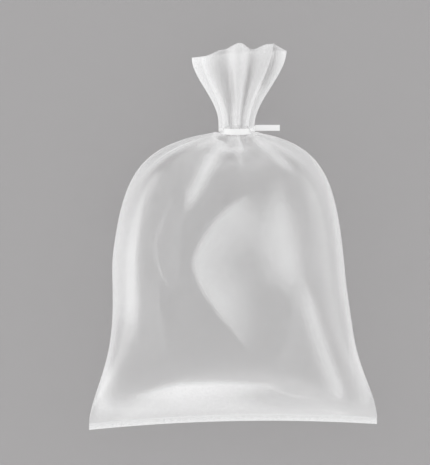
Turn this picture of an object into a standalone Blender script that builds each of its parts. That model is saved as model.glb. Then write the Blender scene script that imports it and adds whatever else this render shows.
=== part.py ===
"""A plastic liner bag full of air, gathered and tied at the neck.

One blown tube of clear film, sealed straight across its bottom, and one flat tie. The bag
lies on its back, as it comes to rest: +X is its right side, +Y runs from the bottom seal
to the mouth, and +Z is its front. All sizes are in metres.
"""

import math
from typing import NamedTuple

import bmesh
import bpy
import numpy as np

# Film tube
LAY_FLAT_WIDTH = 0.203
FILM = 0.00005

# Bottom seal
SEAL_STRIP = 0.004
SEAL_ARCH = 0.0042
SEAL_SLOPE = 0.0021

# Body
BODY_LENGTH = 0.2087
BELLY_RISE = 0.1165
BELLY_WIDTH = 0.1636
BELLY_LEAN = -0.0035
SKIRT_REACH = 0.0437
REST_FLAT = 0.0028

# Shoulder, from the belly to the neck
FACE_DROP = 0.0095
SHOULDER_FOLD = 0.24

# Neck and the ruffle above the tie
NECK_WIDTH = 0.0220
NECK_DEPTH = 0.0190
NECK_LEAN = 0.0025
NECK_FOLD = 0.86
COLLAR_SWELL = 0.0014
RUFFLE_LENGTH = 0.0570
MOUTH_WIDTH = 0.0668
MOUTH_DEPTH = 0.0370
MOUTH_LEAN = 0.0044
MOUTH_FOLD = 0.36

# Tie tape
TIE_TAPE = 0.0042
TIE_THICKNESS = 0.0004
TIE_CLEARANCE = 0.0003
TAIL_LENGTH = 0.0190
TAIL_RISE = 0.0022
TAIL_PLY_GAP = 0.0001
TAIL_SHIFT = 0.0018

# Form of the curves: exponents, angles, and a count of film thicknesses
SEAL_PARTING = 3
SEAL_BLUNTNESS = 0.12
SKIRT_BLUNTNESS = 1.15
SKIRT_FADE = 1.75
SHOULDER_BEND = 0.13
DOME_GATHER = 4
DOME_END = math.radians(80)

# Mesh density
COLUMNS_PER_FOLD = 8
SKIRT_ROWS = 12
DOME_ROWS = 9
THROAT_ROWS = 6
RUFFLE_ROWS = 8
SEAL_CROWDING = 1.3
THROAT_CROWDING = 1.6
TIE_STEPS = 40
GIRTH_STEPS = 40


class Fold(NamedTuple):
    """A ridge and the valley after it, as angles round the bag from its right side."""

    ridge: float
    valley: float
    valley_depth: float
    ridge_rim: float
    valley_rim: float


# The rim heights are measured from the mouth's mean height.
FOLDS = (
    Fold(0, 25, 0.70, -0.0007, 0.0043),
    Fold(47, 70, 1.00, 0.0036, 0.0000),
    Fold(87, 110, 1.00, 0.0042, 0.0015),
    Fold(140, 163, 0.55, -0.0050, -0.0048),
    Fold(180, 198, 0.70, -0.0053, -0.0040),
    Fold(218, 241, 0.90, -0.0055, -0.0030),
    Fold(264, 288, 1.00, -0.0010, 0.0000),
    Fold(312, 338, 0.80, -0.0015, 0.0000),
)
COLUMNS = COLUMNS_PER_FOLD * len(FOLDS)


class Hoop(NamedTuple):
    """One hoop of film round the bag, from its sides to its front and back."""

    side_rise: float
    face_rise: float
    middle: float
    half_width: float
    half_depth: float
    bluntness: float = 1.0
    fold: float = 0.0
    spread: float = 0.0
    slope: float = 0.0
    rim: float = 0.0


def smooth_step(share):
    """Ease from 0 to 1 with a level start and end."""
    share = min(max(share, 0.0), 1.0)
    return share * share * (3 - 2 * share)


def mix(start, end, share):
    """Go from start to end by a share of the way."""
    return start + (end - start) * share


def even_angles():
    """Angles of the columns, evenly round the bag."""
    return np.arange(COLUMNS) * 2 * math.pi / COLUMNS


def fold_angles():
    """Angles of the columns, where each fold's ridge and valley lies on a column."""
    half = COLUMNS_PER_FOLD // 2
    angles = []
    for number, fold in enumerate(FOLDS):
        following = FOLDS[(number + 1) % len(FOLDS)].ridge
        if following <= fold.ridge:
            following += 360
        angles += [mix(fold.ridge, fold.valley, step / half) for step in range(half)]
        angles += [mix(fold.valley, following, step / half) for step in range(half)]
    return np.radians(angles)


def fold_wave(ridge_values, valley_values):
    """A value for each column, eased from each ridge to its valley and on."""
    half = COLUMNS_PER_FOLD // 2
    values = []
    for number, (ridge, valley) in enumerate(zip(ridge_values, valley_values)):
        following = ridge_values[(number + 1) % len(ridge_values)]
        values += [mix(ridge, valley, smooth_step(step / half)) for step in range(half)]
        values += [mix(valley, following, smooth_step(step / half)) for step in range(half)]
    return np.array(values)


def section(angles, half_width, half_depth, bluntness):
    """Cross-section of the tube, as offsets across and up from its middle."""
    across = half_width * np.cos(angles)
    rise = np.sin(angles)
    up = half_depth * np.sign(rise) * np.abs(rise) ** bluntness
    return across, up


def depth_for_girth(half_width, bluntness):
    """Half depth at which a section this wide uses up the whole film tube."""
    angles = even_angles()
    shallow, deep = FILM, LAY_FLAT_WIDTH
    for _ in range(GIRTH_STEPS):
        depth = (shallow + deep) / 2
        across, up = section(angles, half_width, depth, bluntness)
        girth = np.hypot(across - np.roll(across, 1), up - np.roll(up, 1)).sum()
        if girth > 2 * LAY_FLAT_WIDTH:
            deep = depth
        else:
            shallow = depth
    return depth


BELLY_HALF_DEPTH = depth_for_girth(BELLY_WIDTH / 2, 1.0)
MIDDLE_HEIGHT = BELLY_HALF_DEPTH - REST_FLAT


def seal_hoops():
    """The fused strip at the bottom: its free edge, and the line where the film parts."""
    half = LAY_FLAT_WIDTH / 2
    edge = Hoop(0, SEAL_ARCH, 0, half, FILM, SEAL_BLUNTNESS, slope=SEAL_SLOPE)
    parting = edge._replace(
        side_rise=SEAL_STRIP,
        face_rise=SEAL_STRIP + SEAL_ARCH,
        half_depth=SEAL_PARTING * FILM,
    )
    return [edge, parting]


def skirt_hoops():
    """From the seal up to the belly: as the tube fills, its sides draw in."""
    hoops = []
    for row in range(1, SKIRT_ROWS + 1):
        way = (row / SKIRT_ROWS) ** SEAL_CROWDING
        rise = mix(SEAL_STRIP, BELLY_RISE, way)
        flare = math.exp(-(((rise - SEAL_STRIP) / SKIRT_REACH) ** SKIRT_FADE))
        half_width = mix(BELLY_WIDTH, LAY_FLAT_WIDTH, flare) / 2
        bluntness = mix(1.0, SKIRT_BLUNTNESS, flare)
        hoops.append(
            Hoop(
                side_rise=rise,
                face_rise=rise + SEAL_ARCH * flare,
                middle=BELLY_LEAN * way * smooth_step(way),
                half_width=half_width,
                half_depth=min(depth_for_girth(half_width, bluntness), BELLY_HALF_DEPTH),
                bluntness=bluntness,
                slope=SEAL_SLOPE * flare,
            )
        )
    return hoops


def dome_hoops():
    """The shoulder, where the film starts to gather in folds.

    Its outline is a hyperbola: steep beside the belly, and nearly straight as it slopes
    to the tie.
    """
    hoops = []
    for row in range(1, DOME_ROWS + 1):
        turn = DOME_END * row / DOME_ROWS
        out = math.cos(turn)
        below_tie = SHOULDER_BEND * out / (1 - (1 - SHOULDER_BEND) * out)
        rise = mix(BODY_LENGTH, BELLY_RISE, below_tie)
        gather = math.sin(turn) / math.sin(DOME_END)
        hoops.append(
            Hoop(
                side_rise=rise,
                face_rise=rise - FACE_DROP * math.sin(turn),
                middle=mix(NECK_LEAN, BELLY_LEAN, out),
                half_width=mix(NECK_WIDTH / 2, BELLY_WIDTH / 2, out),
                half_depth=mix(NECK_DEPTH / 2, BELLY_HALF_DEPTH, out),
                fold=SHOULDER_FOLD * gather**DOME_GATHER,
                spread=smooth_step(gather),
            )
        )
    return hoops


def neck_hoop(rise):
    """The film where the tie holds it."""
    return Hoop(rise, rise, NECK_LEAN, NECK_WIDTH / 2, NECK_DEPTH / 2, fold=NECK_FOLD, spread=1)


def throat_hoops(shoulder):
    """From the dome's end in to the neck, and through the tie."""
    below = BODY_LENGTH - TIE_TAPE / 2 - TIE_CLEARANCE
    above = BODY_LENGTH + TIE_TAPE / 2 + TIE_CLEARANCE
    held = neck_hoop(below)
    hoops = []
    for row in range(1, THROAT_ROWS):
        way = 1 - (1 - row / THROAT_ROWS) ** THROAT_CROWDING
        hoops.append(Hoop(*(mix(start, end, way) for start, end in zip(shoulder, held))))
    return hoops + [held, neck_hoop(above)]


def ruffle_hoops():
    """The free film above the tie, which flares to the open mouth."""
    start = BODY_LENGTH + TIE_TAPE / 2 + TIE_CLEARANCE
    hoops = []
    for row in range(1, RUFFLE_ROWS + 1):
        way = row / RUFFLE_ROWS
        flare = smooth_step(way)
        rise = mix(start, BODY_LENGTH + RUFFLE_LENGTH, way)
        hoops.append(
            Hoop(
                side_rise=rise,
                face_rise=rise,
                middle=mix(NECK_LEAN, MOUTH_LEAN, way),
                half_width=mix(NECK_WIDTH / 2 + COLLAR_SWELL, MOUTH_WIDTH / 2, flare),
                half_depth=mix(NECK_DEPTH / 2 + COLLAR_SWELL, MOUTH_DEPTH / 2, flare),
                fold=mix(NECK_FOLD, MOUTH_FOLD, math.sqrt(way)),
                spread=1,
                rim=way**2,
            )
        )
    return hoops


def film_skin():
    """Outer skin of the film, as rows of points from the seal to the mouth's rim."""
    dome = dome_hoops()
    hoops = seal_hoops() + skirt_hoops() + dome + throat_hoops(dome[-1]) + ruffle_hoops()
    even, folded = even_angles(), fold_angles()
    deepest = fold_wave([0.0] * len(FOLDS), [1.0] * len(FOLDS))
    loose = fold_wave([0.0] * len(FOLDS), [fold.valley_depth for fold in FOLDS])
    rim = fold_wave([fold.ridge_rim for fold in FOLDS], [fold.valley_rim for fold in FOLDS])
    rows = []
    for hoop in hoops:
        angles = mix(even, folded, hoop.spread)
        inward = hoop.fold * mix(deepest, loose, hoop.rim)
        across, up = section(angles, hoop.half_width, hoop.half_depth, hoop.bluntness)
        across, up = across * (1 - inward), up * (1 - inward)
        rise = mix(hoop.face_rise, hoop.side_rise, np.cos(angles) ** 2)
        rise = rise + hoop.slope * np.cos(angles) + rim * hoop.rim
        height = np.maximum(MIDDLE_HEIGHT + up, 0.0)
        rows.append(np.stack([hoop.middle + across, rise, height], axis=1))
    return np.array(rows)


def inner_skin(outer):
    """The outer skin moved in by the film's thickness, from the seal's inner line up."""
    along = np.gradient(outer, axis=0)
    round_bag = np.roll(outer, -1, axis=1) - np.roll(outer, 1, axis=1)
    normals = np.cross(along, round_bag)
    normals /= np.linalg.norm(normals, axis=2, keepdims=True)
    return (outer - FILM * normals)[1:]


def add_rows(mesh, rows, facing_out):
    """Add a skin's points and its faces, and return the points row by row.

    Every face starts at the same corner on both skins, so that they fold along the same
    diagonal and stay a film's thickness apart.
    """
    points = [[mesh.verts.new(point) for point in row] for row in rows]
    for lower, upper in zip(points, points[1:]):
        for column in range(COLUMNS):
            after = (column + 1) % COLUMNS
            start, far = lower[column], upper[after]
            sides = (upper[column], lower[after]) if facing_out else (lower[after], upper[column])
            mesh.faces.new([start, sides[0], far, sides[1]])
    return points


def close_row(mesh, row, facing_out):
    """Close a flat row, from each point of its front to the one behind it."""
    for column in range(COLUMNS // 2):
        front = [row[column], row[column + 1]]
        back = [row[(COLUMNS - column - 1) % COLUMNS], row[(COLUMNS - column) % COLUMNS]]
        face = list(dict.fromkeys(front + back))
        mesh.faces.new(face if facing_out else face[::-1])


def make_film_bag(material):
    """The film, with an outer and an inner skin that meet at the rim and at the seal."""
    mesh = bmesh.new()
    outer_rows = film_skin()
    outer = add_rows(mesh, outer_rows, True)
    inner = add_rows(mesh, inner_skin(outer_rows), False)
    close_row(mesh, outer[0], True)
    close_row(mesh, inner[0], False)
    for column in range(COLUMNS):
        after = (column + 1) % COLUMNS
        mesh.faces.new(
            [outer[-1][column], inner[-1][column], inner[-1][after], outer[-1][after]]
        )
    return finish_mesh("film_bag", mesh, material)


def tie_path():
    """Middle line of the tape: in along the tail, round the neck and out along the tail."""
    reach = TIE_CLEARANCE + TIE_THICKNESS / 2
    half_width = NECK_WIDTH / 2 + reach
    half_depth = NECK_DEPTH / 2 + reach
    ply = (TAIL_PLY_GAP + TIE_THICKNESS) / 2
    start = math.asin(ply / half_depth)
    root = half_width * math.cos(start)
    tip = root + TAIL_LENGTH
    path = [(tip, TAIL_RISE, ply), (root + TAIL_SHIFT, TAIL_RISE, ply)]
    for step in range(TIE_STEPS + 1):
        turn = mix(start, 2 * math.pi - start, step / TIE_STEPS)
        path.append((half_width * math.cos(turn), 0.0, half_depth * math.sin(turn)))
    path += [(root + TAIL_SHIFT, TAIL_RISE, -ply), (tip, TAIL_RISE, -ply)]
    return [(NECK_LEAN + x, BODY_LENGTH + y, MIDDLE_HEIGHT + z) for x, y, z in path]


def make_neck_tie(material):
    """One flat tape round the neck, its two ends lying together as a tail."""
    mesh = bmesh.new()
    edges = []
    for x, y, z in tie_path():
        lower = mesh.verts.new((x, y - TIE_TAPE / 2, z))
        upper = mesh.verts.new((x, y + TIE_TAPE / 2, z))
        edges.append((lower, upper))
    for (lower, upper), (next_lower, next_upper) in zip(edges, edges[1:]):
        mesh.faces.new([lower, upper, next_upper, next_lower])
    tie = finish_mesh("neck_tie", mesh, material)
    solid = tie.modifiers.new("tape thickness", "SOLIDIFY")
    solid.thickness = TIE_THICKNESS
    solid.offset = 0
    solid.use_even_offset = True
    return tie


def finish_mesh(name, mesh, material):
    """Turn a bmesh into a named object with smooth shading."""
    data = bpy.data.meshes.new(name)
    mesh.to_mesh(data)
    mesh.free()
    data.materials.append(material)
    data.shade_smooth()
    data.set_sharp_from_angle(angle=math.radians(50))
    return bpy.data.objects.new(name, data)


def make_material(name, colour, roughness, alpha=1.0):
    """A plastic with one colour."""
    material = bpy.data.materials.new(name)
    material.use_nodes = True
    shader = material.node_tree.nodes["Principled BSDF"]
    shader.inputs["Base Color"].default_value = (*colour, 1.0)
    shader.inputs["Roughness"].default_value = roughness
    shader.inputs["Metallic"].default_value = 0.0
    shader.inputs["Alpha"].default_value = alpha
    return material


def place_at_centre(pieces):
    """Put the origin under the middle of the whole object, on what it lies on."""
    corners = np.array([vertex.co for piece in pieces for vertex in piece.data.vertices])
    middle = (corners.min(axis=0) + corners.max(axis=0)) / 2
    for piece in pieces:
        piece.location = (-middle[0], -middle[1], 0.0)


def main():
    """Clear the scene and build the bag and its tie."""
    for thing in list(bpy.data.objects):
        bpy.data.objects.remove(thing)
    film = make_material("clear film", (0.90, 0.91, 0.91), 0.2, 0.35)
    tape = make_material("white tape", (0.95, 0.95, 0.95), 0.35)
    pieces = [make_film_bag(film), make_neck_tie(tape)]
    place_at_centre(pieces)
    collection = bpy.data.collections.new("liner bag")
    bpy.context.scene.collection.children.link(collection)
    for piece in pieces:
        collection.objects.link(piece)


main()
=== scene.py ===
"""Looks of a clear film liner bag, full of air and tied at the neck.

The bag lies on its back: +X is its right side, +Y runs from its bottom seal to its mouth,
and +Z is its front, which the camera looks down on. Sizes are in metres unless a name
says otherwise, and the origin is under the middle of the bag, on the floor.
"""

from __future__ import annotations

import logging
import math
from dataclasses import astuple, dataclass, field, replace
from enum import Enum
from typing import ClassVar

import bpy
import numpy as np
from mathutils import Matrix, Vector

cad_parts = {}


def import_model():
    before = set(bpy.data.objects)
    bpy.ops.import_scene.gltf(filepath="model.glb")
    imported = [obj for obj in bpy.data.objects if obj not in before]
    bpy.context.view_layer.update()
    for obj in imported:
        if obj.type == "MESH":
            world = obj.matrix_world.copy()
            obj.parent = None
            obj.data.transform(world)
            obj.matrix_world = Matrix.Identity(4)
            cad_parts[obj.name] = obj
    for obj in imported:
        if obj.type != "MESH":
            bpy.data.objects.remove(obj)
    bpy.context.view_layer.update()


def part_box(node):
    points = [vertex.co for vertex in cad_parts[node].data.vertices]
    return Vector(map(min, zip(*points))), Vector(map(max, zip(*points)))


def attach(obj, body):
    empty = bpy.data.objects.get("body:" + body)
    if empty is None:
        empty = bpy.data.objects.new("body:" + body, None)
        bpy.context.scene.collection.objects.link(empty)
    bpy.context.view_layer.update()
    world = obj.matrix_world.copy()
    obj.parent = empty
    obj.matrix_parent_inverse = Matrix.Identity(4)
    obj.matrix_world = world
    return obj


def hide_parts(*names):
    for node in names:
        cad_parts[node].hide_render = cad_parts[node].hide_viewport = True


LOG = logging.getLogger("liner bag")
MM = 0.001
Amount = float | np.ndarray
Path = tuple[tuple[float, float], ...]
Faces = list[tuple[int, ...]]


def smooth_step(share: Amount) -> Amount:
    """Ease from 0 to 1 with a level start and end."""
    share = np.clip(share, 0.0, 1.0)
    return share * share * (3 - 2 * share)


def mix(start: Amount, end: Amount, share: Amount) -> Amount:
    """Go from start to end by a share of the way."""
    return start + (end - start) * share


class Side(Enum):
    """The face of the bag that a crease lies on."""

    FRONT = 1
    BACK = -1


@dataclass(frozen=True)
class Fold:
    """A ridge of the gathered film and the valley after it.

    Args:
        ridge: Angle of the ridge round the bag, in degrees from its right side.
        valley: Angle of the valley, in degrees.
        depth: How deep the valley stays at the open mouth, as a share.
        ridge_rim: Height of the mouth's rim at the ridge, from its mean height.
        valley_rim: Height of the mouth's rim at the valley, from its mean height.
        ridge_milk_and_highlight: How milky the film is on the ridge, as a share; it paints a
            highlight along the ridge.
        valley_milk_and_shade: How milky it is in the valley, where all below 0 is clear; the
            clearer valley paints shade there.
    """

    ridge: float
    valley: float
    depth: float
    ridge_rim: float
    valley_rim: float
    ridge_milk_and_highlight: float
    valley_milk_and_shade: float


@dataclass(frozen=True)
class Crease:
    """A soft fold in the film along a line, with painted light along it: more milky film there
    paints a highlight, clearer film paints shade. Some are only such a painted zone, with no fold.

    Args:
        path: Points of the line, in millimetres from the origin.
        lift: How far the film stands out along the line, in millimetres.
        left: How far it reaches on the line's left, in millimetres.
        right: How far it reaches on the line's right, in millimetres.
        milk_and_painted_light: How much more milky the film is along the line, which paints a
            highlight there, or how much clearer below 0, which paints shade.
        fade: Shares of the line over which its start and its end fade out.
        side: The face of the bag that it lies on.
    """

    path: Path
    lift: float
    left: float
    right: float
    milk_and_painted_light: float
    fade: tuple[float, float] = (0.3, 0.3)
    side: Side = Side.FRONT
    steps: ClassVar[int] = 12
    felt_reaches: ClassVar[float] = 3
    narrowest: ClassVar[float] = 0.25
    full_height: ClassVar[float] = 6 * MM

    def line(self) -> np.ndarray:
        """Work out a smooth line through the path's points.

        Returns:
            The line's points, in metres, as rows of x and y.
        """
        points = np.array(self.path, float) * MM
        ends = np.vstack([2 * points[0] - points[1], points, 2 * points[-1] - points[-2]])
        way = (np.arange(self.steps) / self.steps)[:, None]
        line = []
        for before, start, end, after in zip(ends, ends[1:], ends[2:], ends[3:]):
            bend = 2 * before - 5 * start + 4 * end - after
            twist = 3 * start - 3 * end + after - before
            line.append(start + (way * (end - before) + way**2 * bend + way**3 * twist) / 2)
        return np.vstack(line + [points[-1:]])

    def press(self, points: np.ndarray, middle: float) -> tuple[np.ndarray, np.ndarray]:
        """Work out what the crease does at each point of the film.

        Args:
            points: Points of the film, with x, y and z last.
            middle: Height of the bag's middle plane.

        Returns:
            How far each point moves outwards, and how much more milky it gets, which paints the
            crease's highlight, or its shade where this is below 0.
        """
        line = self.line()
        room = self.felt_reaches * max(self.left, self.right) * MM
        flat = points[..., :2]
        facing = smooth_step((points[..., 2] - middle) * self.side.value / self.full_height)
        near = (flat > line.min(axis=0) - room) & (flat < line.max(axis=0) + room)
        near = near.all(axis=-1) & (facing > 0)
        offset, along = self.offsets(line, flat[near])
        fade = smooth_step(along / self.fade[0]) * smooth_step((1 - along) / self.fade[1])
        reach = np.where(offset > 0, self.left, self.right) * MM * mix(self.narrowest, 1, fade)
        shape = np.zeros(facing.shape)
        shape[near] = np.exp(-((offset / reach) ** 2)) * fade * facing[near]
        return self.lift * MM * shape, self.milk_and_painted_light * shape

    def offsets(self, line: np.ndarray, flat: np.ndarray) -> tuple[np.ndarray, np.ndarray]:
        """Find how far points lie from the line, and how far along it.

        Args:
            line: The line's points, as rows of x and y.
            flat: The points, as rows of x and y.

        Returns:
            Each point's distance, above 0 on the line's left, and its share of the way.
        """
        nearest = np.full(len(flat), np.inf)
        offset, along = np.zeros(len(flat)), np.zeros(len(flat))
        for number, (start, end) in enumerate(zip(line, line[1:])):
            run = end - start
            away = flat - start
            share = np.clip(away @ run / (run @ run), 0, 1)
            gap = np.hypot(*(away - share[:, None] * run).T)
            closer = gap < nearest
            nearest[closer] = gap[closer]
            turned = run[0] * away[:, 1] - run[1] * away[:, 0]
            offset[closer] = (np.sign(turned) * gap)[closer]
            along[closer] = ((number + share) / (len(line) - 1))[closer]
        return offset, along


def on_both_sides(crease: Crease) -> tuple[Crease, Crease]:
    """A crease on the bag's front, and the same on its back."""
    return crease, replace(crease, side=Side.BACK)


# Each fold's ridge milk paints a highlight on its ridge, and its valley milk paints shade in its
# valley.
FOLDS = (
    Fold(0, 27, 0.70, -0.0007, 0.0043, 0.30, 0.06),
    Fold(52, 74, 1.00, 0.0036, 0.0000, 0.46, 0.06),
    Fold(89, 111, 1.00, 0.0042, -0.0002, 0.34, 0.04),
    Fold(140, 163, 0.55, -0.0050, -0.0048, 0.55, 0.45),
    Fold(180, 198, 0.70, -0.0053, -0.0040, 0.60, 0.20),
    Fold(218, 241, 0.90, -0.0055, -0.0030, 0.06, -0.06),
    Fold(264, 288, 1.00, -0.0010, 0.0000, 0.05, -0.08),
    Fold(312, 338, 0.80, -0.0015, 0.0000, 0.02, -0.02),
)

LEFT_STREAK = ((-56, 46), (-63, 26), (-68, -2), (-69, -23), (-68, -44), (-67, -80))
LEFT_SKIRT = ((-85, -64), (-89, -84), (-92, -95), (-97, -110), (-100, -132))
RIGHT_SKIRT = ((82, -56), (86, -75), (91, -92), (97, -110), (100, -130))
LEFT_CURL = ((-40, 56), (-44, 26), (-49, 11), (-54, -4), (-51, -23), (-43, -37), (-39, -46))
PANEL_LEFT = ((-53, -18), (-52, -44), (-49, -66), (-44, -91))
PANEL_RIGHT = ((43, -29), (41, -51), (39, -69), (33, -83), (22, -94))
PANEL_FOOT = ((22, -94), (25, -104), (37, -110), (51, -113), (68, -117))
# A darker panel on the front: clearer film there paints shade.
PAINTED_SHADE_PANEL = ((-46, -25), (-46, -50), (-44, -80))
SHOULDER_SHORT = ((-11, 69), (-20, 65), (-29, 60))
SHOULDER_LEFT = ((-8, 68), (-14, 56), (-21, 42), (-29, 27), (-35, 12))
SHOULDER_LEFT_TAIL = ((-29, 32), (-36, 9), (-39, -16), (-39, -44))
SHOULDER_MIDDLE = ((2, 72), (4, 60), (7, 42))
SHOULDER_RIGHT = ((15, 70), (26, 60), (37, 50), (47, 40))
SHOULDER_RIGHT_TAIL = ((44, 43), (53, 23), (55, -2), (53, -23), (47, -43))
ARROW = (
    (19, 34), (5, 24), (-9, 12), (-19, -2), (-25, -18), (-20, -34), (-9, -51), (4, -69), (16, -87)
)
RIGHT_BELLY = ((33, 48), (32, 26), (34, 2), (39, -22), (42, -38), (43, -54))
RIGHT_STREAK = ((46, -20), (52, -44), (62, -76), (70, -97), (79, -118))
RIGHT_SIDE = ((69, 26), (73, -16), (75, -69))
FOOT_BAND = ((-80, -112), (-62, -110), (-43, -106.5), (-30, -105), (14, -104), (44, -105))
HEM_LEFT = ((-98, -125), (-60, -120), (-20, -118), (10, -119), (40, -121))
HEM_RIGHT = ((0, -122), (30, -124), (60, -125), (98, -126))
RUFFLE_LEFT = ((-3, 126), (-2, 112), (-1, 98), (-1, 84))
RUFFLE_MIDDLE = ((12, 124), (11, 112), (9, 98), (7, 86))
RUFFLE_RIGHT = ((28, 137), (26, 123), (23, 108), (19, 98))
SHOULDER_LEDGE = ((-26, 62), (-14, 59.5), (0, 58), (10, 59), (22, 61))
SHOULDER_RIM_LEFT = ((-66, 30), (-60, 42), (-54, 50), (-46, 57), (-36, 61), (-24, 63))
SHOULDER_RIM_RIGHT = ((21, 66), (35, 60), (46, 53.5), (54, 46), (60, 35))
BACK_LEFT = ((-30, 40), (-20, 0), (-30, -50), (-44, -86))
BACK_RIGHT = ((36, 30), (22, -10), (30, -60), (52, -100))

# Each crease's milk paints a highlight along its line, or shade where it is below 0; its lift is a
# real fold in the film.
CREASES = (
    Crease(LEFT_STREAK, 0.3, 2.8, 16, 0.26, (0.5, 0.2)),
    Crease(LEFT_SKIRT, 0.0, 10, 6, 0.46, (0.7, 0.05)),
    Crease(RIGHT_SKIRT, 0.0, 6, 9, 0.30, (0.5, 0.05)),
    Crease(LEFT_CURL, 0.15, 1.2, 1.5, 0.09),
    Crease(PANEL_LEFT, 0.0, 1.2, 12, 0.04),
    Crease(PANEL_RIGHT, 0.0, 12, 1.2, 0.04),
    Crease(PANEL_FOOT, 0.1, 1.2, 1.4, 0.08),
    Crease(PAINTED_SHADE_PANEL, 0.0, 16, 14, -0.02),
    Crease(SHOULDER_SHORT, 0.3, 2.5, 2.5, 0.20, (0.02, 0.4)),
    Crease(SHOULDER_LEFT, 0.5, 4.5, 5, 0.36, (0.02, 0.35)),
    Crease(SHOULDER_LEFT_TAIL, 0.1, 1.2, 9, 0.04),
    Crease(SHOULDER_MIDDLE, 0.4, 3, 3.5, 0.22, (0.3, 0.5)),
    Crease(SHOULDER_RIGHT, 0.4, 3.0, 3.2, 0.24, (0.02, 0.4)),
    Crease(SHOULDER_RIGHT_TAIL, 0.1, 14, 1.2, 0.03),
    Crease(ARROW, 0.6, 25, 3.0, 0.31, (0.2, 0.3)),
    Crease(RIGHT_BELLY, 0.4, 10, 16, 0.33, (0.4, 0.5)),
    Crease(RIGHT_STREAK, 0.6, 4, 6.5, 0.28, (0.3, 0.15)),
    Crease(FOOT_BAND, 0.3, 3.4, 10, 0.54, (0.5, 0.4)),
    Crease(HEM_LEFT, 0.0, 9, 8, 0.20, (0.02, 0.4)),
    Crease(HEM_RIGHT, 0.0, 3, 6, 0.09, (0.4, 0.02)),
    Crease(RUFFLE_LEFT, 0.0, 3, 3, -0.14),
    Crease(RUFFLE_MIDDLE, 0.0, 2, 2, -0.12, (0.2, 0.3)),
    *on_both_sides(Crease(RUFFLE_RIGHT, 0.0, 6, 5, -0.20, (0.1, 0.4))),
    Crease(RIGHT_SIDE, 0.2, 2, 2, 0.03),
    Crease(SHOULDER_LEDGE, 0.0, 4, 4, -0.19),
    *on_both_sides(Crease(SHOULDER_RIM_LEFT, 0.0, 6, 7, -0.09, (0.5, 0.4))),
    *on_both_sides(Crease(SHOULDER_RIM_RIGHT, 0.0, 4, 8, -0.05, (0.5, 0.5))),
    Crease(BACK_LEFT, 0.6, 6, 9, 0.02, side=Side.BACK),
    Crease(BACK_RIGHT, 0.5, 8, 5, 0.02, side=Side.BACK),
)


@dataclass(frozen=True)
class FoldWaves:
    """What the folds do in each column of points round the bag.

    Args:
        even: Angles of the columns where they lie evenly round the bag.
        folded: Their angles where each ridge and each valley lies on one.
        held: How far in each one lies under the tie: 0 on a ridge, 1 in a valley.
        loose: How far in it lies at the open mouth.
        rim: Height of the mouth's rim, from its mean height.
        milk_and_painted_light: How milky the gathered film is, with painted highlights on the
            ridges and painted shade in the valleys.
    """

    even: np.ndarray
    folded: np.ndarray
    held: np.ndarray
    loose: np.ndarray
    rim: np.ndarray
    milk_and_painted_light: np.ndarray


@dataclass(frozen=True)
class Hoop:
    """One hoop of film round the bag, from its sides to its front and back.

    Args:
        side_rise: Height of its two sides above the bottom seal.
        face_rise: Height of its front and back above the bottom seal.
        middle: Where its middle lies across the bag.
        half_width: Half its width.
        half_depth: Half its depth.
        bluntness: 1 for an ellipse, less for a box, more for a lens.
        fold: How far its valleys go in, as a share of the way to the middle.
        spread: 0 with even columns, 1 with columns that follow the folds.
        slope: How far its right side is above its left, halved.
        rim: How far the mouth's ragged rim is felt.
        milk_and_painted_light: How milky it is, which in the skirt also paints a highlight near
            the seal; or from the tie up what its folds' milk, with its painted highlights and
            shade, is scaled by.
        loosen: How much of its folds beside the tie is pulled flat, as a share.
        droop: How far it hangs down beside the tie.
    """

    side_rise: float
    face_rise: float
    middle: float
    half_width: float
    half_depth: float
    bluntness: float = 1.0
    fold: float = 0.0
    spread: float = 0.0
    slope: float = 0.0
    rim: float = 0.0
    milk_and_painted_light: float = 0.0
    loosen: float = 0.0
    droop: float = 0.0

    def toward(self, other: Hoop, way: float) -> Hoop:
        """A hoop between this one and another, at a share of the way."""
        return Hoop(*(mix(start, end, way) for start, end in zip(astuple(self), astuple(other))))


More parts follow.
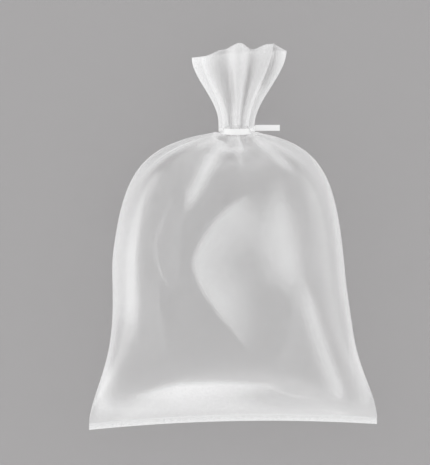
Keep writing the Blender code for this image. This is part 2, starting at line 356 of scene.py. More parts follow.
@dataclass
class FilmBag:
    """The blown film: a tube sealed at the bottom, gathered at the neck, open above it."""

    # The film tube
    lay_flat_width: float = 0.203
    film: float = 0.00005
    body_length: float = 0.2087
    rest_flat: float = 0.0028
    girth_sides: int = 64
    girth_halvings: int = 40
    # Its bottom seal
    seal_strip: float = 0.004
    seal_arch: float = 0.0042
    seal_slope: float = 0.0021
    seal_bluntness: float = 0.12
    seal_parting: float = 3
    seal_milk: float = 0.72
    parting_milk: float = 0.46
    fused_rows: int = 2
    # The skirt, from the seal up to the belly
    belly_rise: float = 0.1165
    belly_width: float = 0.1636
    belly_lean: float = -0.0035
    skirt_reach: float = 0.0437
    skirt_fade: float = 1.75
    skirt_bluntness: float = 1.15
    skirt_crowding: float = 1.3
    skirt_rows: int = 60
    # More milky film just above the seal, which carries on the seal's milk and paints a highlight
    # along the bottom.
    skirt_milk_and_highlight: float = 0.27
    skirt_highlight_reach: float = 0.010
    flank_swell: float = 0.0007
    flank_rise: float = 0.078
    flank_reach: float = 0.024
    # The dome of the shoulder, and the throat that leads in to the neck
    shoulder_bend: float = 0.13
    shoulder_fold: float = 0.24
    face_drop: float = 0.0095
    dome_end: float = math.radians(80)
    dome_gather: float = 4
    dome_rows: int = 54
    rows_skipped: float = 1.5
    throat_rows: int = 14
    throat_crowding: float = 1.6
    throat_loose: tuple[float, float] = (0.12, 0.35)
    throat_milk: tuple[float, float] = (-0.17, 0.14)
    throat_lip_milk: float = 0.30
    # How the bends between them are rounded
    belly_ease: float = 0.007
    throat_ease: float = 0.0040
    ease_spread: float = 2
    ease_samples: int = 33
    ease_fade: float = 4
    # The neck under the tie
    neck_width: float = 0.0220
    neck_depth: float = 0.0190
    neck_lean: float = 0.0025
    neck_fold: float = 0.6
    neck_milk: float = 0.95
    held_length: float = 0.0048
    held_rows: int = 3
    # The bulge below the tie, and the lips above it, which leave room for its tail
    beside_tie: tuple[float, float] = (0.62, 0.82)
    tail_room: tuple[float, float] = (0.0006, 0.0014)
    tie_reach: float = 0.0011
    puff_height: float = 0.0014
    puff_more: float = 0.0004
    puff_reach: float = 0.0022
    lip_length: float = 0.0019
    lip_swell: float = 0.0017
    lip_swell_end: float = 0.75
    lip_droop: float = 0.0044
    lip_hang: tuple[float, float] = (0.3, 0.6)
    lip_rows: int = 10
    lip_milk: float = 0.9
    # The ruffle and its open mouth
    ruffle_length: float = 0.0570
    ruffle_rows: int = 36
    mouth_width: float = 0.0668
    mouth_depth: float = 0.0370
    mouth_lean: float = 0.0044
    mouth_fold: float = 0.36
    mouth_milk: float = 1.0
    # A painted highlight that grows towards the mouth's rim.
    rim_painted_highlight: float = 0.20
    rim_highlight_power: int = 4
    # Folds and creases
    fold_columns: int = 34
    folds: tuple[Fold, ...] = FOLDS
    creases: tuple[Crease, ...] = CREASES
    # Worked out from the film and the frame
    belly_half_depth: float = field(init=False, default=0.0)
    middle_height: float = field(init=False, default=0.0)
    seal_line: float = field(init=False, default=0.0)

    def __post_init__(self) -> None:
        """Work out the height of the middle plane from the film's girth."""
        self.belly_half_depth = self.depth_for_girth(self.belly_width / 2, 1.0)
        self.middle_height = self.belly_half_depth - self.rest_flat

    @property
    def columns(self) -> int:
        """How many columns of points go round the bag."""
        return self.fold_columns * len(self.folds)

    @property
    def half_fold(self) -> int:
        """How many columns there are from a ridge to its valley."""
        return self.fold_columns // 2

    def even_angles(self) -> np.ndarray:
        """Angles of the columns, evenly round the bag."""
        return np.arange(self.columns) * 2 * math.pi / self.columns

    def fold_wave(
        self, ridges: list[float], valleys: list[float], eased: bool = True
    ) -> np.ndarray:
        """Run a value round the bag, from each ridge to its valley and on.

        Args:
            ridges: The value at each ridge.
            valleys: The value at each valley.
            eased: Whether it starts and ends level at each ridge and valley.

        Returns:
            The value in each column.
        """
        way = np.arange(self.half_fold) / self.half_fold
        way = smooth_step(way) if eased else way
        after = ridges[1:] + ridges[:1]
        runs = []
        for ridge, valley, following in zip(ridges, valleys, after):
            runs += [mix(ridge, valley, way), mix(valley, following, way)]
        return np.concatenate(runs)

    def fold_angles(self) -> np.ndarray:
        """Place the columns so that each ridge and each valley lies on one.

        Returns:
            The columns' angles.
        """
        ridges = [fold.ridge for fold in self.folds]
        valleys = [fold.valley for fold in self.folds]
        angles = self.fold_wave(ridges, valleys, eased=False)
        way = np.arange(self.half_fold) / self.half_fold
        angles[-self.half_fold:] = mix(valleys[-1], ridges[0] + 360, way)
        return np.radians(angles)

    def waves(self) -> FoldWaves:
        """Work out what the folds do round the bag.

        Returns:
            Their values in each column.
        """
        ridges_held = [0.0 for _ in self.folds]
        return FoldWaves(
            even=self.even_angles(),
            folded=self.fold_angles(),
            held=self.fold_wave(ridges_held, [1.0 for _ in self.folds]),
            loose=self.fold_wave(ridges_held, [fold.depth for fold in self.folds]),
            rim=self.fold_wave(
                [fold.ridge_rim for fold in self.folds], [fold.valley_rim for fold in self.folds]
            ),
            milk_and_painted_light=self.fold_wave(
                [fold.ridge_milk_and_highlight for fold in self.folds], [fold.valley_milk_and_shade for fold in self.folds]
            ),
        )

    def section(
        self, angles: np.ndarray, half_width: float, half_depth: float, bluntness: float
    ) -> tuple[np.ndarray, np.ndarray]:
        """Draw a cross-section of the tube.

        Args:
            angles: Angles of the columns.
            half_width: Half the section's width.
            half_depth: Half its depth.
            bluntness: 1 for an ellipse, less for a box, more for a lens.

        Returns:
            Each point's offsets across and up from the section's middle.
        """
        rise = np.sin(angles)
        up = half_depth * np.sign(rise) * np.abs(rise) ** bluntness
        return half_width * np.cos(angles), up

    def depth_for_girth(self, half_width: float, bluntness: float) -> float:
        """Find the half depth at which a section uses up the whole film tube.

        Args:
            half_width: Half the section's width.
            bluntness: 1 for an ellipse, less for a box, more for a lens.

        Returns:
            Half the section's depth.
        """
        angles = np.arange(self.girth_sides) * 2 * math.pi / self.girth_sides
        shallow, deep = self.film, self.lay_flat_width
        for _ in range(self.girth_halvings):
            depth = (shallow + deep) / 2
            across, up = self.section(angles, half_width, depth, bluntness)
            girth = np.hypot(across - np.roll(across, 1), up - np.roll(up, 1)).sum()
            if girth > 2 * self.lay_flat_width:
                deep = depth
            else:
                shallow = depth
        return (shallow + deep) / 2

    def seal_hoops(self) -> list[Hoop]:
        """Lay out the fused strip at the bottom.

        Returns:
            Its free edge, its middle, and the line where the film parts.
        """
        edge = Hoop(
            side_rise=0,
            face_rise=self.seal_arch,
            middle=0,
            half_width=self.lay_flat_width / 2,
            half_depth=self.film,
            bluntness=self.seal_bluntness,
            slope=self.seal_slope,
            milk_and_painted_light=self.seal_milk,
        )
        parting = replace(
            edge,
            side_rise=self.seal_strip,
            face_rise=self.seal_strip + self.seal_arch,
            half_depth=self.seal_parting * self.film,
            milk_and_painted_light=self.parting_milk,
        )
        return [edge.toward(parting, row / self.fused_rows) for row in range(self.fused_rows + 1)]

    def skirt_hoops(self) -> list[Hoop]:
        """Lay out the skirt: as the tube fills, its sides draw in.

        Returns:
            Its hoops, from above the seal to the belly.
        """
        hoops = []
        for row in range(1, self.skirt_rows + 1):
            way = (row / self.skirt_rows) ** self.skirt_crowding
            rise = mix(self.seal_strip, self.belly_rise, way)
            flare = math.exp(-(((rise - self.seal_strip) / self.skirt_reach) ** self.skirt_fade))
            flank = math.exp(-(((rise - self.flank_rise) / self.flank_reach) ** 2))
            swell = self.flank_swell * flank
            half_width = mix(self.belly_width, self.lay_flat_width, flare) / 2 + swell
            bluntness = mix(1.0, self.skirt_bluntness, flare)
            depth = self.depth_for_girth(half_width, bluntness)
            hoops.append(
                Hoop(
                    side_rise=rise,
                    face_rise=rise + self.seal_arch * flare,
                    middle=self.belly_lean * way * smooth_step(way) + swell,
                    half_width=half_width,
                    half_depth=min(depth, self.belly_half_depth),
                    bluntness=bluntness,
                    slope=self.seal_slope * flare,
                    # The skirt's milk paints a highlight along the bottom, fading upwards.
                    milk_and_painted_light=self.skirt_milk_and_highlight * math.exp(-rise / self.skirt_highlight_reach),
                )
            )
        return hoops

    def dome_hoops(self) -> list[Hoop]:
        """Lay out the shoulder: a hyperbola, steep beside the belly, that slopes to the tie.

        Returns:
            Its hoops, from above the belly to the throat.
        """
        hoops = []
        for row in range(1, self.dome_rows + 1):
            turn = self.dome_end * (row + self.rows_skipped) / (self.dome_rows + self.rows_skipped)
            out = math.cos(turn)
            below_tie = self.shoulder_bend * out / (1 - (1 - self.shoulder_bend) * out)
            rise = mix(self.body_length, self.belly_rise, below_tie)
            gathered = math.sin(turn) / math.sin(self.dome_end)
            hoops.append(
                Hoop(
                    side_rise=rise,
                    face_rise=rise - self.face_drop * math.sin(turn),
                    middle=mix(self.neck_lean, self.belly_lean, out),
                    half_width=mix(self.neck_width, self.belly_width, out) / 2,
                    half_depth=mix(self.neck_depth / 2, self.belly_half_depth, out),
                    fold=self.shoulder_fold * gathered**self.dome_gather,
                    spread=smooth_step(gathered),
                )
            )
        return hoops

    def eased(self, hoops: list[Hoop], joints: dict[int, float]) -> list[Hoop]:
        """Round off the bends where stretches of the bag meet.

        Args:
            hoops: The bag's hoops, in order.
            joints: How far each bend's rounding reaches, by the number of its hoop.

        Returns:
            The hoops, those near a bend averaged with what lies around them.
        """
        names = ("side_rise", "face_rise", "middle", "half_width", "half_depth", "fold")
        lines = {name: np.array([getattr(hoop, name) for hoop in hoops]) for name in names}
        side = np.hypot(np.diff(lines["side_rise"]), np.diff(lines["half_width"]))
        face = np.hypot(np.diff(lines["face_rise"]), np.diff(lines["half_depth"]))
        way = np.concatenate([[0], np.cumsum((side + face) / 2)])
        steps = np.linspace(-self.ease_spread, self.ease_spread, self.ease_samples)
        weights = np.exp(-(steps**2))
        weights /= weights.sum()
        eased = []
        for hoop, place in zip(hoops, way):
            reach = 0.0
            for number, full_reach in joints.items():
                apart = abs(place - way[number]) / full_reach
                reach = max(reach, full_reach * (1 - smooth_step(apart / self.ease_fade)))
            around = place + steps * reach
            values = {name: np.interp(around, way, line) @ weights for name, line in lines.items()}
            eased.append(replace(hoop, **values))
        return eased

    def neck_hoop(self, rise: float) -> Hoop:
        """Lay out the film where the tie holds it.

        Args:
            rise: Its height above the bottom seal.

        Returns:
            The hoop at that height.
        """
        return Hoop(
            side_rise=rise,
            face_rise=rise,
            middle=self.neck_lean,
            half_width=self.neck_width / 2,
            half_depth=self.neck_depth / 2,
            fold=self.neck_fold,
            spread=1,
            milk_and_painted_light=self.neck_milk,
        )

    def throat_hoops(self, shoulder: Hoop) -> list[Hoop]:
        """Lay out the film from the dome's end in to the neck, and through the tie.

        Args:
            shoulder: The dome's last hoop.

        Returns:
            The hoops after it, the last one at the tie's upper edge.
        """
        below = self.neck_hoop(self.body_length - self.held_length / 2)
        above = self.neck_hoop(self.body_length + self.held_length / 2)
        near, far = self.throat_loose
        hoops = []
        for row in range(1, self.throat_rows):
            way = 1 - (1 - row / self.throat_rows) ** self.throat_crowding
            out = 1 - way
            loosen = smooth_step(out / near) * (1 - smooth_step((out - far) / (1 - far)))
            milk_and_painted_light = mix(*self.throat_milk, smooth_step(way))
            hoops.append(replace(shoulder.toward(below, way), loosen=loosen, milk_and_painted_light=milk_and_painted_light))
        held = [below.toward(above, row / self.held_rows) for row in range(self.held_rows + 1)]
        return hoops + held

    def lip_hoops(self) -> list[Hoop]:
        """Lay out the film just above the tie, which swells out and hangs over it.

        Returns:
            Its hoops, which hang down only at their sides.
        """
        neck = self.neck_hoop(self.body_length + self.held_length / 2)
        hang_start, hang_end = self.lip_hang
        hoops = []
        for row in range(1, self.lip_rows + 1):
            way = row / self.lip_rows
            rise = neck.side_rise + self.lip_length * way
            swell = self.lip_swell * smooth_step(way / self.lip_swell_end)
            hang = smooth_step((way - hang_start) / (hang_end - hang_start))
            hang *= 1 - smooth_step((way - hang_end) / (1 - hang_end))
            hoops.append(
                replace(
                    neck,
                    side_rise=rise,
                    face_rise=rise,
                    half_width=neck.half_width + swell,
                    half_depth=neck.half_depth + swell,
                    loosen=hang,
                    droop=self.lip_droop * hang,
                )
            )
        return hoops

    def ruffle_hoops(self, lip: Hoop) -> list[Hoop]:
        """Lay out the free film above the tie, which flares to the open mouth.

        Args:
            lip: The last hoop of the lips.

        Returns:
            The hoops after it, the last one at the mouth's rim.
        """
        hoops = []
        for row in range(1, self.ruffle_rows + 1):
            way = row / self.ruffle_rows
            flare = smooth_step(way)
            rise = mix(lip.side_rise, self.body_length + self.ruffle_length, way)
            hoops.append(
                Hoop(
                    side_rise=rise,
                    face_rise=rise,
                    middle=mix(self.neck_lean, self.mouth_lean, way),
                    half_width=mix(lip.half_width, self.mouth_width / 2, flare),
                    half_depth=mix(lip.half_depth, self.mouth_depth / 2, flare),
                    fold=mix(self.neck_fold, self.mouth_fold, math.sqrt(way)),
                    spread=1,
                    rim=way**2,
                    milk_and_painted_light=mix(self.neck_milk, self.mouth_milk, way),
                )
            )
        return hoops

    def hoops(self) -> list[Hoop]:
        """Lay out the whole bag.

        Returns:
            Its hoops, from the seal's free edge to the mouth's rim.
        """
        skirt, dome, lips = self.skirt_hoops(), self.dome_hoops(), self.lip_hoops()
        throat = self.throat_hoops(dome[-1])
        belly_hoop, throat_hoop = len(skirt) - 1, len(skirt) + len(dome) - 1
        joints = {belly_hoop: self.belly_ease, throat_hoop: self.throat_ease}
        body = self.eased(skirt + dome + throat, joints)
        return self.seal_hoops() + body + lips + self.ruffle_hoops(lips[-1])

    def puff(self, across: np.ndarray, up: np.ndarray, apart: np.ndarray) -> np.ndarray:
        """How far the film below the tie bulges up, by how far out of the tie it lies.

        Args:
            across: Each point's offset from the neck's middle along X.
            up: Its offset along Z.
            apart: 0 beside the tie's tail, 1 clear of it.

        Returns:
            How far each point moves along Y.
        """
        tie_width = self.neck_width / 2 + self.tie_reach
        tie_depth = self.neck_depth / 2 + self.tie_reach
        out = np.hypot(across / tie_width, up / tie_depth) - 1
        share = np.maximum(out, 0) * tie_width / self.puff_reach
        return (self.puff_height + self.puff_more * apart) * share * np.exp(1 - share)

    def ring(self, hoop: Hoop, waves: FoldWaves) -> tuple[np.ndarray, np.ndarray]:
        """Work out a hoop's points.

        Args:
            hoop: The hoop.
            waves: What the folds do in each column.

        Returns:
            Its points, and how milky the film is at each of them, with the painted highlights and
            shade of the folds and a painted highlight towards the mouth's rim.
        """
        angles = mix(waves.even, waves.folded, hoop.spread)
        sideways = np.cos(angles)
        start, full = self.beside_tie
        beside = smooth_step((np.abs(sideways) - start) / (full - start))
        inward = hoop.fold * mix(waves.held, waves.loose, hoop.rim) * (1 - hoop.loosen * beside)
        across, up = self.section(angles, hoop.half_width, hoop.half_depth, hoop.bluntness)
        across *= 1 - inward * sideways**2
        up *= 1 - inward * np.sin(angles) ** 2
        start, full = self.tail_room
        apart = np.where(across > 0, smooth_step((np.abs(up) - start) / (full - start)), 1)
        rise = mix(hoop.face_rise, hoop.side_rise, sideways**2) + hoop.slope * sideways
        rise += waves.rim * hoop.rim - hoop.droop * beside * apart
        if hoop.side_rise < self.body_length:
            rise += self.puff(across, up, apart) * beside
        place = [hoop.middle + across, self.seal_line + rise, self.middle_height + up]
        below_tie = hoop.side_rise < self.body_length - self.held_length / 2
        # From the tie up, the folds' milk paints highlights on the ridges and shade in the
        # valleys.
        milk_and_painted_light = hoop.milk_and_painted_light * (1 if below_tie else waves.milk_and_painted_light)
        # A painted highlight grows towards the mouth's rim.
        milk_and_painted_light += self.rim_painted_highlight * hoop.rim**self.rim_highlight_power
        lip = (self.throat_lip_milk if below_tie else self.lip_milk) * hoop.loosen * beside
        return np.stack(place, axis=1), np.maximum(milk_and_painted_light, lip)

    def skin(self) -> tuple[np.ndarray, np.ndarray]:
        """Work out the film's outer skin.

        Returns:
            Its points, row by row from the seal to the rim, and how milky each one is, with the
            painted highlights and shade of the folds and the rim.
        """
        waves = self.waves()
        rows, milk_and_painted_light = zip(*(self.ring(hoop, waves) for hoop in self.hoops()))
        return np.array(rows), np.array(milk_and_painted_light)

    def normals(self, rows: np.ndarray) -> np.ndarray:
        """Find which way a skin faces.

        Args:
            rows: The skin's points, row by row.

        Returns:
            A direction out of the skin for each point.
        """
        along = np.gradient(rows, axis=0)
        round_bag = np.roll(rows, -1, axis=1) - np.roll(rows, 1, axis=1)
        out = np.cross(along, round_bag)
        return out / np.linalg.norm(out, axis=2, keepdims=True)

    def pressed_skin(self) -> tuple[np.ndarray, np.ndarray]:
        """Work out the outer skin with its creases, flat where it rests on the floor.

        Returns:
            Its points, row by row, and how milky each one is, with the painted highlights and
            shade of the creases as well.
        """
        rows, milk_and_painted_light = self.skin()
        out = self.normals(rows)
        height = np.zeros(milk_and_painted_light.shape)
        # Each crease adds its painted highlight, or its painted shade below 0, to the milk.
        for crease in self.creases:
            moved, crease_painted_light = crease.press(rows, self.middle_height)
            height += moved
            milk_and_painted_light += crease_painted_light
        rows = rows + height[..., None] * out
        rows[..., 2] = np.maximum(rows[..., 2], 0.0)
        return rows, milk_and_painted_light

    def seat(self, low: tuple[float, float, float], high: tuple[float, float, float]) -> None:
        """Place the bag in the box that its solid fills.

        Args:
            low: The solid's lowest corner.
            high: The solid's highest corner.
        """
        rise = self.skin()[0][..., 1]
        self.seal_line = (low[1] + high[1]) / 2 - (rise.min() + rise.max()) / 2
        LOG.info("seal line at y = %.4f", self.seal_line)

    def build(self) -> bpy.types.Object:
        """Make the film as a closed body with an outer and an inner skin.

        Returns:
            The film's object.
        """
        outer, milk_and_painted_light = self.pressed_skin()
        inner = (outer - self.film * self.normals(outer))[self.fused_rows:]
        count, rows = self.columns, len(outer)
        inner_start = rows * count
        faces = self.strips(rows, 0, True) + self.strips(len(inner), inner_start, False)
        faces += self.closing(0, True) + self.closing(inner_start, False)
        rim_out = (rows - 1) * count
        rim_in = inner_start + (len(inner) - 1) * count
        for column in range(count):
            after = (column + 1) % count
            faces.append((rim_out + column, rim_in + column, rim_in + after, rim_out + after))
        points = np.vstack([outer.reshape(-1, 3), inner.reshape(-1, 3)])
        milk_and_painted_light_values = np.concatenate([milk_and_painted_light.ravel(), milk_and_painted_light[self.fused_rows:].ravel()])
        mesh = bpy.data.meshes.new("film")
        mesh.from_pydata(points.tolist(), [], faces)
        # The milk attribute carries the film's haze together with its painted highlights and
        # shade.
        mesh.attributes.new("milk_and_painted_light", "FLOAT", "POINT").data.foreach_set("value", milk_and_painted_light_values)
        mesh.shade_smooth()
        film = bpy.data.objects.new("film", mesh)
        bpy.context.scene.collection.objects.link(film)
        return film

    def strips(self, rows: int, start: int, facing_out: bool) -> Faces:
        """Join the rows of a skin, split alike on both skins.

        Args:
            rows: How many rows it has.
            start: Number of its first point.
            facing_out: Whether it is the outer skin.

        Returns:
            The faces, as the numbers of their corners.
        """
        faces = []
        count = self.columns
        for row in range(rows - 1):
            low = start + row * count
            for column in range(count):
                after = (column + 1) % count
                left, right = low + count + column, low + after
                sides = (left, right) if facing_out else (right, left)
                faces.append((low + column, sides[0], low + count + after, sides[1]))
        return faces

    def closing(self, start: int, facing_out: bool) -> Faces:
        """Close a flat row from its front to its back, with triangles at its two ends.

        Args:
            start: Number of the row's first point.
            facing_out: Whether it is a row of the outer skin.

        Returns:
            The faces, as the numbers of their corners.
        """
        faces = []
        count = self.columns
        for column in range(count // 2):
            behind = ((count - column - 1) % count, (count - column) % count)
            corners = dict.fromkeys((column, column + 1) + behind)
            face = tuple(start + corner for corner in corners)
            faces.append(face if facing_out else face[::-1])
        return faces


@dataclass
class NeckTie:
    """The flat tape round the neck, its two ends lying together as a tail."""

    tape: float = 0.0042
    thickness: float = 0.0004
    clearance: float = 0.0003
    tail_length: float = 0.0190
    tail_rise: float = 0.0022
    tail_shift: float = 0.0018
    ply_gap: float = 0.0001
    rib_width: float = 0.0011
    rib_height: float = 0.00015
    front_sag: float = 0.0010
    sharp_edge: float = math.radians(60)
    ring_steps: int = 96
    tail_steps: int = 20
    edge_steps: int = 7
    rib_steps: int = 9

    def path(self, bag: FilmBag) -> np.ndarray:
        """Middle line of the tape: in along the tail, round the neck and out again.

        Args:
            bag: The bag that it holds.

        Returns:
            The line's points.
        """
        reach = self.clearance + self.thickness / 2
        half_width = bag.neck_width / 2 + reach
        half_depth = bag.neck_depth / 2 + reach
        ply = (self.ply_gap + self.thickness) / 2
        start = math.asin(ply / half_depth)
        root = half_width * math.cos(start)
        out = np.linspace(1, 0, self.tail_steps, endpoint=False)
        climb = self.tail_rise * smooth_step(out * self.tail_length / self.tail_shift)
        level = np.full(self.tail_steps, ply)
        front = np.stack([root + out * self.tail_length, climb, level], axis=1)
        back = (front * (1, 1, -1))[::-1]
        turn = np.linspace(start, 2 * math.pi - start, self.ring_steps)
        sag = -self.front_sag * np.clip(np.sin(turn), 0, 1) ** 2
        ring = np.stack([half_width * np.cos(turn), sag, half_depth * np.sin(turn)], axis=1)
        where = (bag.neck_lean, bag.seal_line + bag.body_length, bag.middle_height)
        return np.vstack([front, ring, back]) + where

    def profile(self) -> np.ndarray:
        """Draw the tape's section: rounded edges, and a raised rib along its outer middle.

        Returns:
            The section's points, as rows of along the tape's width and out of its face.
        """
        half, thick = self.tape / 2, self.thickness / 2
        turn = np.linspace(-math.pi / 2, math.pi / 2, self.edge_steps)
        edge = np.stack([half - thick + thick * np.cos(turn), thick * np.sin(turn)], axis=1)
        across = np.linspace(self.rib_width, -self.rib_width, self.rib_steps)
        bulge = self.rib_height * np.clip(np.cos(across / self.rib_width * math.pi / 2), 0, 1)
        rib = np.stack([across, thick + bulge], axis=1)
        return np.vstack([edge, rib, edge[::-1] * (-1, 1)])

    def build(self, bag: FilmBag) -> bpy.types.Object:
        """Sweep the tape's section along its path.

        Args:
            bag: The bag that it holds.

        Returns:
            The tie's object.
        """
        path, profile = self.path(bag), self.profile()
        runs = np.gradient(path, axis=0)
        runs[:, 1] = 0
        runs /= np.linalg.norm(runs, axis=1, keepdims=True)
        outward = np.stack([-runs[:, 2], np.zeros(len(runs)), runs[:, 0]], axis=1)
        upward = np.array([0.0, 1.0, 0.0])
        widths, heights = profile[None, :, :1], profile[None, :, 1:]
        rings = path[:, None] + widths * upward + heights * outward[:, None]
        count = len(profile)
        faces = []
        for row in range(len(path) - 1):
            low = row * count
            for side in range(count):
                after = (side + 1) % count
                faces.append((low + side, low + after, low + count + after, low + count + side))
        faces.append(tuple(range(count))[::-1])
        faces.append(tuple((len(path) - 1) * count + side for side in range(count)))
        mesh = bpy.data.meshes.new("tie tape")
        mesh.from_pydata(rings.reshape(-1, 3).tolist(), [], faces)
        mesh.shade_smooth()
        mesh.set_sharp_from_angle(angle=self.sharp_edge)
        tie = bpy.data.objects.new("tie_tape", mesh)
        bpy.context.scene.collection.objects.link(tie)
        return tie


def calculate(
    tree: bpy.types.NodeTree, operation: str, *terms: float | bpy.types.NodeSocket
) -> bpy.types.NodeSocket:
    """Add a Math node.

    Args:
        tree: The node tree that it goes in.
        operation: What it does, such as ADD.
        terms: What goes into it, as numbers or as the sockets that give them.

    Returns:
        The socket that gives its result.
    """
    node = tree.nodes.new("ShaderNodeMath")
    node.operation = operation
    for entry, term in zip(node.inputs, terms):
        if isinstance(term, bpy.types.NodeSocket):
            tree.links.new(term, entry)
        else:
            entry.default_value = term
    return node.outputs[0]


def handling_marks() -> bpy.types.NodeTree:
    """The faint, uneven marks that handling leaves on plastic, as a shader node group.

    Returns:
        A group that takes how close the marks lie, and gives a mask, a height and a grain.
    """
    group = bpy.data.node_groups.get("handling marks")
    if group:
        return group
    group = bpy.data.node_groups.new("handling marks", "ShaderNodeTree")
    face = group.interface
    size = face.new_socket("Marks per metre", in_out="INPUT", socket_type="NodeSocketFloat")
    size.default_value = 60.0
    nodes, links = group.nodes, group.links
    layers = (("Mask", 3.0, 1.0), ("Height", 2.0, 7.0), ("Grain", 0.0, 80.0))
    for output, _, _ in layers:
        face.new_socket(output, in_out="OUTPUT", socket_type="NodeSocketFloat")
    start = nodes.new("NodeGroupInput")
    end = nodes.new("NodeGroupOutput")
    place = nodes.new("ShaderNodeTexCoord")
    for output, detail, closeness in layers:
        noise = nodes.new("ShaderNodeTexNoise")
        noise.inputs["Detail"].default_value = detail
        scale = calculate(group, "MULTIPLY", start.outputs["Marks per metre"], closeness)
        links.new(scale, noise.inputs["Scale"])
        links.new(place.outputs["Object"], noise.inputs["Vector"])
        links.new(noise.outputs[0], end.inputs[output])
    return group


@dataclass(frozen=True)
class Finish:
    """What every finish has: its name, colour, roughness and handling marks."""

    name: str
    colour: tuple[float, float, float]
    roughness: float
    marks_per_metre: float
    mark_depth: float
    mark_strength: ClassVar[float] = 0.5
    mask_range: ClassVar[tuple[float, float]] = (0.3, 0.7)
    roughness_range: ClassVar[tuple[float, float]] = (0.8, 1.25)

    def start(self) -> tuple[bpy.types.Material, bpy.types.Node, bpy.types.Node]:
        """Make the material with its main shader and its marks.

        Returns:
            The material, its Principled shader and its group of marks.
        """
        material = bpy.data.materials.new(self.name)
        material.use_nodes = True
        nodes, links = material.node_tree.nodes, material.node_tree.links
        shader = nodes["Principled BSDF"]
        shader.inputs["Base Color"].default_value = (*self.colour, 1.0)
        marks = nodes.new("ShaderNodeGroup")
        marks.node_tree = handling_marks()
        marks.inputs["Marks per metre"].default_value = self.marks_per_metre
        rough = nodes.new("ShaderNodeMapRange")
        rough.inputs["From Min"].default_value = self.mask_range[0]
        rough.inputs["From Max"].default_value = self.mask_range[1]
        rough.inputs["To Min"].default_value = self.roughness * self.roughness_range[0]
        rough.inputs["To Max"].default_value = self.roughness * self.roughness_range[1]
        bump = nodes.new("ShaderNodeBump")
        bump.inputs["Strength"].default_value = self.mark_strength
        bump.inputs["Distance"].default_value = self.mark_depth
        links.new(marks.outputs["Mask"], rough.inputs["Value"])
        links.new(rough.outputs["Result"], shader.inputs["Roughness"])
        links.new(marks.outputs["Height"], bump.inputs["Height"])
        links.new(bump.outputs["Normal"], shader.inputs["Normal"])
        return material, shader, marks


@dataclass(frozen=True)
class FilmFinish(Finish):
    """Clear film: a thin milky haze, more of it seen aslant, under a gloss."""

    haze: float = 0.050
    slant_haze: float = 1.0
    slant_power: float = 2.3
    shade_relief: float = 0.85
    grain: float = 0.8
    gloss: float = 0.045
    slant_gloss: float = 0.25
    gloss_power: float = 5.0
    gloss_roughness: float = 0.22

    def make(self) -> bpy.types.Material:
        """Make the material.

        Returns:
            The film's material, clear where neither haze nor gloss covers it.
        """
        material, shader, marks = self.start()
        tree = material.node_tree
        nodes, links = tree.nodes, tree.links
        slant = nodes.new("ShaderNodeLayerWeight").outputs["Facing"]
        # The milk attribute brings in the film's haze together with the painted highlights and
        # shade of its creases, folds, skirt and rim.
        milk_and_painted_light_attribute = nodes.new("ShaderNodeAttribute")
        milk_and_painted_light_attribute.attribute_name = "milk_and_painted_light"
        raised = calculate(tree, "POWER", slant, self.slant_power)
        haze = calculate(tree, "MULTIPLY_ADD", raised, self.slant_haze, self.haze)
        milk_and_painted_light = calculate(tree, "ADD", milk_and_painted_light_attribute.outputs["Fac"], haze)
        grain = marks.outputs["Grain"]
        uneven = calculate(tree, "MULTIPLY_ADD", grain, 2 * self.grain, 1 - self.grain)
        milky = calculate(tree, "MULTIPLY", milk_and_painted_light, uneven)
        milky.node.use_clamp = True
        seen = calculate(tree, "MULTIPLY", milky, self.share_met(tree))
        links.new(seen, shader.inputs["Alpha"])
        mirror = nodes.new("ShaderNodeBsdfGlossy")
        mirror.inputs["Color"].default_value = (1.0, 1.0, 1.0, 1.0)
        mirror.inputs["Roughness"].default_value = self.gloss_roughness
        raised = calculate(tree, "POWER", slant, self.gloss_power)
        gloss = calculate(tree, "MULTIPLY_ADD", raised, self.slant_gloss, self.gloss)
        both = nodes.new("ShaderNodeMixShader")
        links.new(gloss, both.inputs[0])
        links.new(shader.outputs[0], both.inputs[1])
        links.new(mirror.outputs[0], both.inputs[2])
        links.new(both.outputs[0], nodes["Material Output"].inputs["Surface"])
        return material

    def share_met(self, tree: bpy.types.NodeTree) -> bpy.types.NodeSocket:
        """Let most of the light that the milk scatters forward reach what lies behind it.

        Args:
            tree: The node tree that the nodes go in.

        Returns:
            The socket that gives the share of the milk that a ray meets: all of it for
            sight, and little of it for light that is on its way to or from a surface.
        """
        ray = tree.nodes.new("ShaderNodeLightPath").outputs
        light = calculate(tree, "MAXIMUM", ray["Is Shadow Ray"], ray["Is Diffuse Ray"])
        return calculate(tree, "MULTIPLY_ADD", light, -self.shade_relief, 1.0)


@dataclass(frozen=True)
class TapeFinish(Finish):
    """White plastic tape."""

    def make(self) -> bpy.types.Material:
        """Make the material."""
        return self.start()[0]


@dataclass(frozen=True)
class FloorFinish(Finish):
    """A plain matt floor."""

    def make(self) -> bpy.types.Material:
        """Make the material.

        Returns:
            The floor's material, which has no gloss at all.
        """
        material, shader, _ = self.start()
        shader.inputs["Specular IOR Level"].default_value = 0.0
        return material


FILM_FINISH = FilmFinish("clear film", (0.94, 0.94, 0.945), 0.35, 45.0, 0.00004)
TAPE_FINISH = TapeFinish("white tape", (0.97, 0.97, 0.97), 0.4, 300.0, 0.00002)
FLOOR_FINISH = FloorFinish("grey floor", (0.418, 0.409, 0.412), 0.9, 8.0, 0.00002)


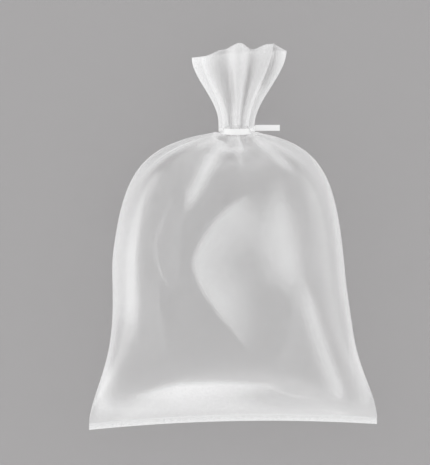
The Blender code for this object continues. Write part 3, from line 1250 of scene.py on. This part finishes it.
@dataclass(frozen=True)
class Softbox:
    """A flat light, aimed at a point over the bag.

    Args:
        name: What it is called.
        place: Where its middle is.
        size: Its width and height.
        glow: How bright its face is, where 1 is as bright as lit white paper.
        mirrored: Whether glossy things reflect it, or it only fills in light.
    """

    name: str
    place: tuple[float, float, float]
    size: tuple[float, float]
    glow: float
    mirrored: bool = False

    def build(self, target: tuple[float, float, float]) -> None:
        """Make the light.

        Args:
            target: The point that it faces.
        """
        light = bpy.data.lights.new(self.name, "AREA")
        light.shape = "RECTANGLE"
        light.size, light.size_y = self.size
        light.energy = self.glow * math.pi * self.size[0] * self.size[1]
        lamp = bpy.data.objects.new(self.name, light)
        lamp.location = self.place
        lamp.visible_glossy = self.mirrored
        aim = np.array(self.place) - np.array(target)
        flat = math.hypot(aim[0], aim[1])
        lamp.rotation_euler = (math.atan2(flat, aim[2]), 0.0, math.atan2(aim[0], -aim[1]))
        bpy.context.scene.collection.objects.link(lamp)


@dataclass
class Studio:
    """The floor, the light and the camera."""

    picture_width: float = 430
    picture_height: float = 465
    pixel: float = 0.705 * MM
    seal_pixel: tuple[float, float] = (233, 427)
    floor_size: float = 12.0
    floor_drop: float = 0.0003
    room_glow: float = 0.83
    lens: float = 300.0
    sensor: float = 36.0
    nearest_seen: float = 0.01
    boxes: tuple[Softbox, ...] = (
        Softbox("left box", (-2.10, 0.20, 0.46), (3.2, 0.80), 1.1, True),
        Softbox("foot box", (0.0, -2.10, 0.64), (1.8, 0.44), 0.7, True),
        Softbox("left fill", (-2.10, 0.0, 0.36), (3.2, 0.28), 2.0),
        Softbox("right fill", (2.10, 0.0, 0.36), (3.2, 0.28), 4.0),
        Softbox("head fill", (0.0, 2.10, 0.36), (3.2, 0.28), 2.4),
        Softbox("foot fill", (0.0, -2.10, 0.36), (3.2, 0.28), 2.6),
    )

    def build(self, bag: FilmBag) -> None:
        """Set up the studio round the bag.

        Args:
            bag: The bag that is shown.
        """
        self.lay_floor()
        self.light_room()
        for box in self.boxes:
            box.build((0.0, 0.0, bag.middle_height))
        self.place_camera(bag)

    def lay_floor(self) -> None:
        """Lay the plain floor, just under the bag."""
        half = self.floor_size / 2
        mesh = bpy.data.meshes.new("floor")
        corners = [(-half, -half, 0), (half, -half, 0), (half, half, 0), (-half, half, 0)]
        mesh.from_pydata(corners, [], [(0, 1, 2, 3)])
        mesh.materials.append(FLOOR_FINISH.make())
        floor = bpy.data.objects.new("floor", mesh)
        floor.location.z = -self.floor_drop
        bpy.context.scene.collection.objects.link(floor)

    def light_room(self) -> None:
        """Light the room evenly from all round."""
        world = bpy.data.worlds.new("room")
        world.use_nodes = True
        glow = world.node_tree.nodes["Background"]
        glow.inputs["Color"].default_value = (1.0, 1.0, 1.0, 1.0)
        glow.inputs["Strength"].default_value = self.room_glow
        bpy.context.scene.world = world

    def place_camera(self, bag: FilmBag) -> None:
        """Look straight down on the bag, framed as in the photograph.

        Args:
            bag: The bag that is shown.
        """
        across = (self.picture_width / 2 - self.seal_pixel[0]) * self.pixel
        along = (self.seal_pixel[1] - self.picture_height / 2) * self.pixel + bag.seal_line
        height = self.picture_height * self.pixel * self.lens / self.sensor
        camera = bpy.data.cameras.new("camera")
        camera.lens = self.lens
        camera.sensor_width = self.sensor
        camera.clip_start = self.nearest_seen
        eye = bpy.data.objects.new("camera", camera)
        eye.location = (across, along, bag.middle_height + height)
        bpy.context.scene.collection.objects.link(eye)
        bpy.context.scene.camera = eye


def show_true_tones(film_layers: int = 64) -> None:
    """Show tones as they are, and let light pass all the film's layers.

    Args:
        film_layers: How many layers of film light may pass.
    """
    scene = bpy.context.scene
    scene.view_settings.view_transform = "Standard"
    scene.cycles.transparent_max_bounces = film_layers


def main() -> None:
    """Load the frame, dress the bag and its tie, and set up the studio."""
    logging.basicConfig(level=logging.INFO, format="%(name)s: %(message)s")
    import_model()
    bag = FilmBag()
    bag.seat(*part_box("film_bag"))
    film = bag.build()
    film.data.materials.append(FILM_FINISH.make())
    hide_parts("film_bag")
    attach(film, "root")
    LOG.info("film: %d faces", len(film.data.polygons))
    tie = NeckTie().build(bag)
    tie.data.materials.append(TAPE_FINISH.make())
    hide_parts("neck_tie")
    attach(tie, "root")
    LOG.info("tie: %d faces", len(tie.data.polygons))
    Studio().build(bag)
    show_true_tones()


if __name__ == "__main__":
    main()
